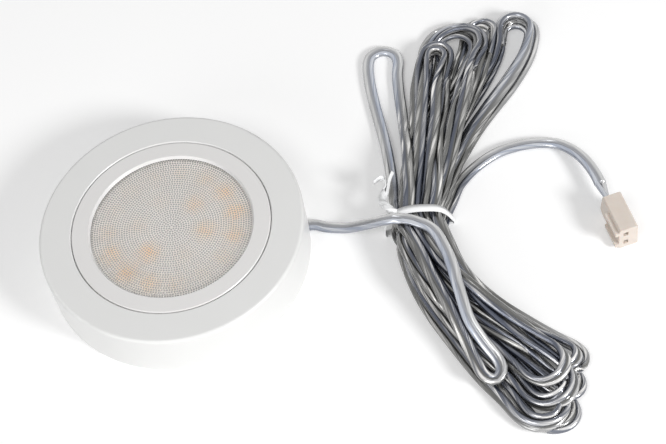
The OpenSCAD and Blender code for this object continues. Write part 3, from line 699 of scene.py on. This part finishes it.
brushed, tree, shader = finish("back_aluminium", Metallic=1.0, Roughness=.32)
stroke = node(tree, "Mapping", {"Vector": node(tree, "TexCoord").outputs["Object"], "Scale": (60, 4000, 60)})
streak = noise(tree, stroke.outputs[0], detail=3.0)
tree.links.new(blendOf(tree, streak, (.62, .63, .65, 1), (.78, .79, .80, 1)), shader.inputs["Base Color"])
relief(tree, shader, streak, .2, .02)
dress(["back_plate"], brushed)

ledNames = sorted(n for n in nodes if n.startswith("led_") and n != "led_board")
dress(["board_screws", "clamp_screws", "clip_1", "clip_2", "clip_3"],
      mottled("screw_steel", (.8, 3), (.62, .62, .63, 1), (.76, .76, .77, 1), Metallic=1.0, Roughness=.25))
dress([n for n in nodes if n.startswith("resistor_")] + ["rectifier"],
      mottled("chip_black", (.3, 3), (.018, .018, .02, 1), (.05, .05, .052, 1), Roughness=.4))
dress(ledNames, mottled("led_case", (.6, 2), (.85, .84, .80, 1), (.92, .91, .87, 1), Roughness=.3))
dress(["contact_lower", "contact_upper"],
      mottled("contact_brass", (.7, 3), (.78, .38, .12, 1), (.88, .54, .24, 1), Metallic=.5, Roughness=.4))
dress(["connector"],
      mottled("connector_nylon", (3, 3), (.66, .58, .51, 1), (.74, .67, .61, 1), (.25, 2, .15, .02), Roughness=.45,
              Subsurface_Weight=.15, Subsurface_Radius=(1, .6, .4), Subsurface_Scale=.001))
dress(["wire_left", "wire_right"],
      mottled("core_skin", (1.2, 3), (.4, .4, .42, 1), (.6, .6, .6, 1),
              Roughness=.3, Coat_Weight=1.0, Coat_Roughness=.08))
print("CAD nodes dressed")

# Lens

lens = {
    "radius": 25.55,         # mm
    "top": 15.1,             # mm above the underside
    "thickness": 1.4,        # of the CAD lens, in mm
    "edge": .15,             # mm that is taken off the rim's corner
    "innerRing": 12,         # mm, of points on the underside
    "pitch": .75,            # mm between the rings of prisms
    "foot": .6,              # mm across one prism
    "depth": .34,            # mm, of a prism
    "film": .25,             # mm of frosted film under the prisms
    "gap": .04,              # mm left free above and below the prisms, together
    "under": .02,            # mm of it between the plate and the prisms
    "corners": 8,            # of a prism
    "outerRing": 24.9,       # mm, radius of the last ring
    "ringTurn": 2.39996,     # rad from one ring of prisms to the next
    "tint": (.97, .965, .96, 1),
    "index": 1.49,           # of refraction, acrylic
    "filmLight": .07,        # the film's own light
    "glowTurns": (.12, 3.80),   # rad, the directions in which the warm patches are strongest
    "glowReach": 3.1,        # mm
    "glowLeast": .15,        # share of the strongest patch that every patch has
    "glowColour": (1, .66, .32, 1),
}
phosphorDish = {"radius": 1.08, "crown": .1}   # mm, and its height as a share of the radius


def turned(profile, count=128):
    """A closed solid turned from a profile of radius and height that starts and ends on the axis."""
    angles = np.arange(count) * 2 * np.pi / count
    points, faces, rows = [], [], []
    for r, z in profile:
        if r == 0:
            rows.append([len(points)] * count)
            points.append((0, 0, z))
        else:
            rows.append(list(range(len(points), len(points) + count)))
            points += [(r * np.cos(a), r * np.sin(a), z) for a in angles]
    for upper, lower in zip(rows, rows[1:]):
        for i in range(count):
            j = (i + 1) % count
            faces.append(tuple(dict.fromkeys([upper[i], lower[i], lower[j], upper[j]])))
    return points, faces


filmZ = lens["top"] - lens["thickness"] + lens["film"]
backZ = lens["top"] - lens["thickness"] + lens["depth"] + lens["film"] + lens["gap"]
lensClear, tree, shader = finish("lens_clear", Base_Color=lens["tint"], Roughness=.02, Transmission_Weight=1.0,
                                 IOR=lens["index"])
relief(tree, shader, grain(tree, 6, 1), .03, .02)
# the film's own faint light stands for what the prisms gather from the sides
lensFilm, tree, shader = finish("lens_film", Roughness=.5, IOR=1.3, Transmission_Weight=.12,
                                Emission_Color=(1, 1, 1, 1), Emission_Strength=lens["filmLight"])
# painted light: warm patches in the film's colour at the LEDs
patch = reckon(tree, "MULTIPLY", mark(tree, "glow"), spread(tree, grain(tree, 1.6, 3), .3, .7, .5, 1.2))
cloudy = blendOf(tree, grain(tree, 5, 3), (.90, .87, .83, 1), (.96, .93, .89, 1))
tree.links.new(blendOf(tree, patch, cloudy, lens["glowColour"]), shader.inputs["Base Color"])
relief(tree, shader, grain(tree, 1.2, 2), .5, .1)


def disc(name, top, low, material):
    radius, cut = lens["radius"], min(lens["edge"], (top - low) / 2)
    profile = [(0, top)] + [(r, top) for r in np.arange(1, radius - 1)]
    profile += [(radius - cut, top), (radius, top - cut), (radius, low), (lens["innerRing"], low), (0, low)]
    points, faces = turned(profile)
    piece = place(name, points, faces, material, "prism_lens")
    for face in piece.data.polygons:
        face.use_smooth = abs(face.normal.z) < .5
    return piece


plate = disc("prism_lens", lens["top"], backZ, lensClear)
film = disc("lens_film", filmZ, filmZ - lens["film"], lensFilm)
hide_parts("lens")


def topOf(name):
    """The middle of a node's upper side, in m."""
    low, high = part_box(name)
    return ((low[0] + high[0]) / 2, (low[1] + high[1]) / 2, high[2])


ledTops = [topOf(name) for name in ledNames]
# painted light: each LED gets a warm patch in the film's colour, standing in for the prisms spreading its light,
# strongest in two directions
spots = np.array([[v.co.x, v.co.y] for v in film.data.vertices]) / mm
glow = np.zeros(len(spots))
for x, y, _ in ledTops:
    led = np.array([x, y]) / mm
    toward = sum(max(np.cos(np.arctan2(led[1], led[0]) - turn), 0) ** 4 for turn in lens["glowTurns"])
    share = lens["glowLeast"] + (1 - lens["glowLeast"]) * toward
    glow += np.exp(-(np.linalg.norm(spots - led, axis=1) / lens["glowReach"]) ** 2) * share
keepMarks(film, "glow", np.clip(glow, 0, 1))


class Tree:
    """A node tree for pieces that repeat, built a node at a time."""

    def __init__(self, name, inputs, onMesh=False):
        self.group = bpy.data.node_groups.new(name, "GeometryNodeTree")
        self.values = {}
        if onMesh:
            self.socket("Geometry", "INPUT", "NodeSocketGeometry")
        for label, value in inputs.items():
            kind = "NodeSocketInt" if isinstance(value, int) else "NodeSocketFloat"
            socket = self.socket(label, "INPUT", kind)
            socket.default_value = value
            self.values[socket.identifier] = value
        self.socket("Geometry", "OUTPUT", "NodeSocketGeometry")
        self.given = self.group.nodes.new("NodeGroupInput").outputs

    def socket(self, label, way, kind):
        return self.group.interface.new_socket(label, in_out=way, socket_type=kind)

    def add(self, kind, inputs=None, **settings):
        made = self.group.nodes.new(kind)
        for key, value in settings.items():
            setattr(made, key, value)
        for key, value in (inputs or {}).items():
            setInput(self.group, made.inputs[key], value)
        return made

    def calc(self, operation, a, b=0.0):
        return self.add("ShaderNodeMath", {0: a, 1: b}, operation=operation).outputs[0]

    def vector(self, x=0.0, y=0.0, z=0.0):
        return self.add("ShaderNodeCombineXYZ", {0: x, 1: y, 2: z}).outputs[0]

    def scatter(self, points, piece, material, **turnOrScale):
        """Puts the piece on the points and ends the tree with them as one mesh."""
        put = self.add("GeometryNodeInstanceOnPoints", {"Points": points, "Instance": piece, **turnOrScale})
        real = self.add("GeometryNodeRealizeInstances", {0: put.outputs[0]})
        coat = self.add("GeometryNodeSetMaterial", {"Geometry": real.outputs[0], "Material": material})
        self.add("NodeGroupOutput", {0: coat.outputs[0]})

    def grow(self, name, start, slot):
        """Runs the tree on a mesh and keeps what it makes as a plain piece."""
        maker = bpy.data.objects.new(name + "_maker", start)
        bpy.context.collection.objects.link(maker)
        modifier = maker.modifiers.new("maker", "NODES")
        modifier.node_group = self.group
        for identifier, value in self.values.items():
            modifier[identifier] = value
        bpy.context.view_layer.update()
        mesh = bpy.data.meshes.new_from_object(maker.evaluated_get(bpy.context.evaluated_depsgraph_get()))
        bpy.data.objects.remove(maker)
        mesh.name = name
        return ride(name, mesh, slot)


# rings of prisms, six more in each ring than in the last, each ring turned a little from the next
prismClear = mottled("prism_clear", (4, 2), (.93, .92, .90, 1), (.98, .97, .96, 1),
                     Roughness=.15, Transmission_Weight=.7, IOR=lens["index"])
sheet = Tree("prism_rings", {
    "Rings": int(lens["outerRing"] / lens["pitch"]),
    "Pitch": lens["pitch"] * mm,
    "Foot": lens["foot"] * mm,
    "Depth": lens["depth"] * mm,
    "Corners": lens["corners"],
    "Height": backZ * mm,
})
given, calc = sheet.given, sheet.calc
index = sheet.add("GeometryNodeInputIndex").outputs[0]
# the ring that a prism is in, and its number there
third = calc("DIVIDE", calc("ADD", index, 1.0), 3.0)
ring = calc("CEIL", calc("SUBTRACT", calc("SQRT", calc("ADD", third, .25)), .5))
inRing = calc("SUBTRACT", index, calc("MULTIPLY", calc("MULTIPLY", ring, 3.0), calc("SUBTRACT", ring, 1.0)))
share = calc("DIVIDE", inRing, calc("MULTIPLY", ring, 6.0))
turn = calc("ADD", calc("MULTIPLY", share, 2 * np.pi), calc("MULTIPLY", ring, lens["ringTurn"]))
radius = calc("MULTIPLY", ring, given["Pitch"])
spot = sheet.vector(calc("MULTIPLY", radius, calc("COSINE", turn)), calc("MULTIPLY", radius, calc("SINE", turn)),
                    calc("SUBTRACT", given["Height"], lens["under"] * mm))
total = calc("MULTIPLY", calc("MULTIPLY", given["Rings"], 3.0), calc("ADD", given["Rings"], 1.0))
points = sheet.add("GeometryNodePoints", {"Count": total, "Position": spot})
prism = sheet.add("GeometryNodeMeshCone", {
    "Vertices": given["Corners"],
    "Radius Bottom": calc("MULTIPLY", given["Foot"], .5),
    "Radius Top": calc("MULTIPLY", given["Foot"], .05),
    "Depth": given["Depth"],
})
sheet.scatter(points.outputs[0], prism.outputs["Mesh"], prismClear, Rotation=sheet.vector(x=np.pi, z=turn))
prismRings = sheet.grow("lens_prisms", bpy.data.meshes.new("no_points"), "prism_lens")
print("prisms made:", len(prismRings.data.polygons), "faces")

phosphor = mottled("led_phosphor", (.25, 3), (.90, .36, .03, 1), (.95, .50, .08, 1), (.15, 2, .4, .02), Roughness=.4)
tops = bpy.data.meshes.new("led_tops")
tops.from_pydata(ledTops, [], [])
dish = Tree("led_dishes", {"Radius": phosphorDish["radius"] * mm, "Crown": phosphorDish["crown"]}, onMesh=True)
drop = dish.add("GeometryNodeMeshUVSphere", {"Segments": 20, "Rings": 10, "Radius": dish.given["Radius"]})
points = dish.add("GeometryNodeMeshToPoints", {"Mesh": dish.given["Geometry"]})
dish.scatter(points.outputs[0], drop.outputs["Mesh"], phosphor, Scale=dish.vector(1.0, 1.0, dish.given["Crown"]))
dish.grow("led_phosphor", tops, "led_case")
print("LED dishes filled:", len(ledTops))

# Wire tie

tie = {
    "width": 2.6,            # mm
    "thickness": .6,         # mm
    "wire": .45,             # mm, the wire in its middle
    "gap": .12,              # mm between the band and the lead
    "place": -8.6,           # y of its middle
    "reach": 1.6,            # mm to each side in which it feels the lead
    "ends": 66,              # mm at each end of the lead that it doesn't bind
    "slack": 7,              # mm over which the band rounds its upper corners
    "slackFrom": (2, 4),     # mm above the floor from which it rounds them, and over which
    "overFloor": .02,        # mm
    "steps": 120,            # sections round the bundle
    "fineStep": .35,         # mm between sections of its ends
    "knot": ((66.4, -8.2, 9.4), (65.0, -7.2, 10.4), (63.8, -5.4, 10.4), (63.0, -3.4, 9.6), (63.2, -1.4, 9),
             (64.4, .6, 8.8)),
    "tails": (((65.2, 2.6, 9), (65, 4.8, 9.4), (63.6, 5.4, 9.6), (61.8, 4.6, 9.2)),
              ((65.8, 2.6, 8.8), (66.6, 4.6, 9.2), (68, 6.6, 9.8))),
    "twists": 1.5,
    "twistRadius": .62,      # mm
    "twistSection": (.9, 1.6),   # the section's width and thickness there, as shares
}


def hullRound(points, reach):
    """The convex line that runs reach outside the points, from the furthest of them in each direction."""
    angles = np.radians(np.arange(0, 360, 5))
    normals = np.stack([np.cos(angles), np.sin(angles)], 1)
    support = (points @ normals.T).max(0) + reach
    window = np.arange(-5, 6)
    weight = np.exp(-(window / 3) ** 2)
    evenly = np.stack([np.roll(support, k) for k in window], 1) @ weight / weight.sum()
    # a stiff band can't follow the small steps between turns
    support = np.maximum(support, evenly + .1)
    pairs = zip(normals, np.roll(normals, -1, 0), support, np.roll(support, -1))
    return np.array([np.linalg.solve(np.stack([a, b]), [c, d]) for a, b, c, d in pairs])


inBundle = (along > tie["ends"]) & (along < along[-1] - tie["ends"])
bound = np.vstack([leftCore[inBundle], rightCore[inBundle]])
bound = bound[np.abs(bound[:, 1] - tie["place"]) < tie["reach"]][:, (0, 2)]
hull = hullRound(bound, cable["coreWidth"] / 2 + tie["gap"] + tie["thickness"] / 2)
# even steps along the loop, then the upper corners rounded
closed = np.vstack([hull, hull[:1]])
far = lengths(closed)
even = np.linspace(0, far[-1], tie["steps"] + 1)[:-1]
hull = np.stack([np.interp(even, far, closed[:, k]) for k in (0, 1)], 1)
window = int(tie["slack"] / far[-1] * tie["steps"]) // 2
rounded = sum(np.roll(hull, k, 0) for k in range(-window, window + 1)) / (2 * window + 1)
high = rampUp(hull[:, 1:], *tie["slackFrom"])
hull = hull * (1 - high) + rounded * high
print("tie round the bundle:", hull.min(0).round(2), hull.max(0).round(2))

# a fluted band with its wire in the middle: half width and half thickness
wide, thick, wire = tie["width"] / 2, tie["thickness"] / 2, tie["wire"] * .9
crown = 1.25                 # how far the wire lifts the band's outer side, as a share of its half thickness
flute = wide * .45
upperSide = np.array([(-wide, .3), (-flute, .45), (-wire, 1), (0, crown), (wire, 1), (flute, .45), (wide, .3)])
lowerSide = np.array([(wide, -.3), (flute, -.4), (0, -.5), (-flute, -.4), (-wide, -.3)])
section = np.vstack([lowerSide[-1:], upperSide, lowerSide[:-1]]) * (1, thick)
hull[:, 1] = np.maximum(hull[:, 1], thick * crown + tie["overFloor"])
n, m = len(hull), len(section)
centreline = np.stack([hull[:, 0], np.full(n, tie["place"]), hull[:, 1]], 1)
heading = unit(np.roll(centreline, -1, 0) - np.roll(centreline, 1, 0))
outward = np.cross(heading, (0, 1.0, 0))
inside = np.array([bound[:, 0].mean(), tie["place"], bound[:, 1].mean()])
if ((centreline - inside) * outward).sum() < 0:
    outward = -outward
tieVertices = [sweep(centreline, np.tile((0, 1.0, 0), (n, 1)), outward, section)]
tieFaces = [(r * m + i, r * m + (i + 1) % m, (r + 1) % n * m + (i + 1) % m, (r + 1) % n * m + i)
            for r in range(n) for i in range(m)]

# its two ends, twisted round each other and then free
axis = spline(tie["knot"], tie["fineStep"])
t = np.linspace(0, 1, len(axis))
run = unit(np.gradient(axis, axis=0))
flat = unit(np.cross(run, (0, 0, 1.0)))
up = np.cross(flat, run)
for half, tail in enumerate(tie["tails"]):
    turn = (t * tie["twists"] * 2 + half) * np.pi
    around = flat * np.cos(turn)[:, None] + up * np.sin(turn)[:, None]
    line = axis + around * tie["twistRadius"]
    free = spline([line[-1], *tail], tie["fineStep"])[1:]
    line = np.vstack([line, free])
    heading = np.gradient(line, axis=0)
    across = np.cross(heading, np.vstack([around, np.repeat(around[-1:], len(free), 0)]))
    heading = unit(heading)
    across = unit(across - heading * (across * heading).sum(1)[:, None])
    first = sum(len(points) for points in tieVertices)
    tieVertices.append(sweep(line, across, np.cross(across, heading), section * tie["twistSection"]))
    tieFaces += ringFaces(len(line), m, first)
tiePlastic = mottled("tie_plastic", (2, 3), (.86, .87, .88, 1), (.92, .92, .92, 1), (.4, 3, .3, .05), Roughness=.35)
wireTie = place("wire_tie_band", np.vstack(tieVertices), tieFaces, tiePlastic, "tie_white")
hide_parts("wire_tie")
print("tie made")
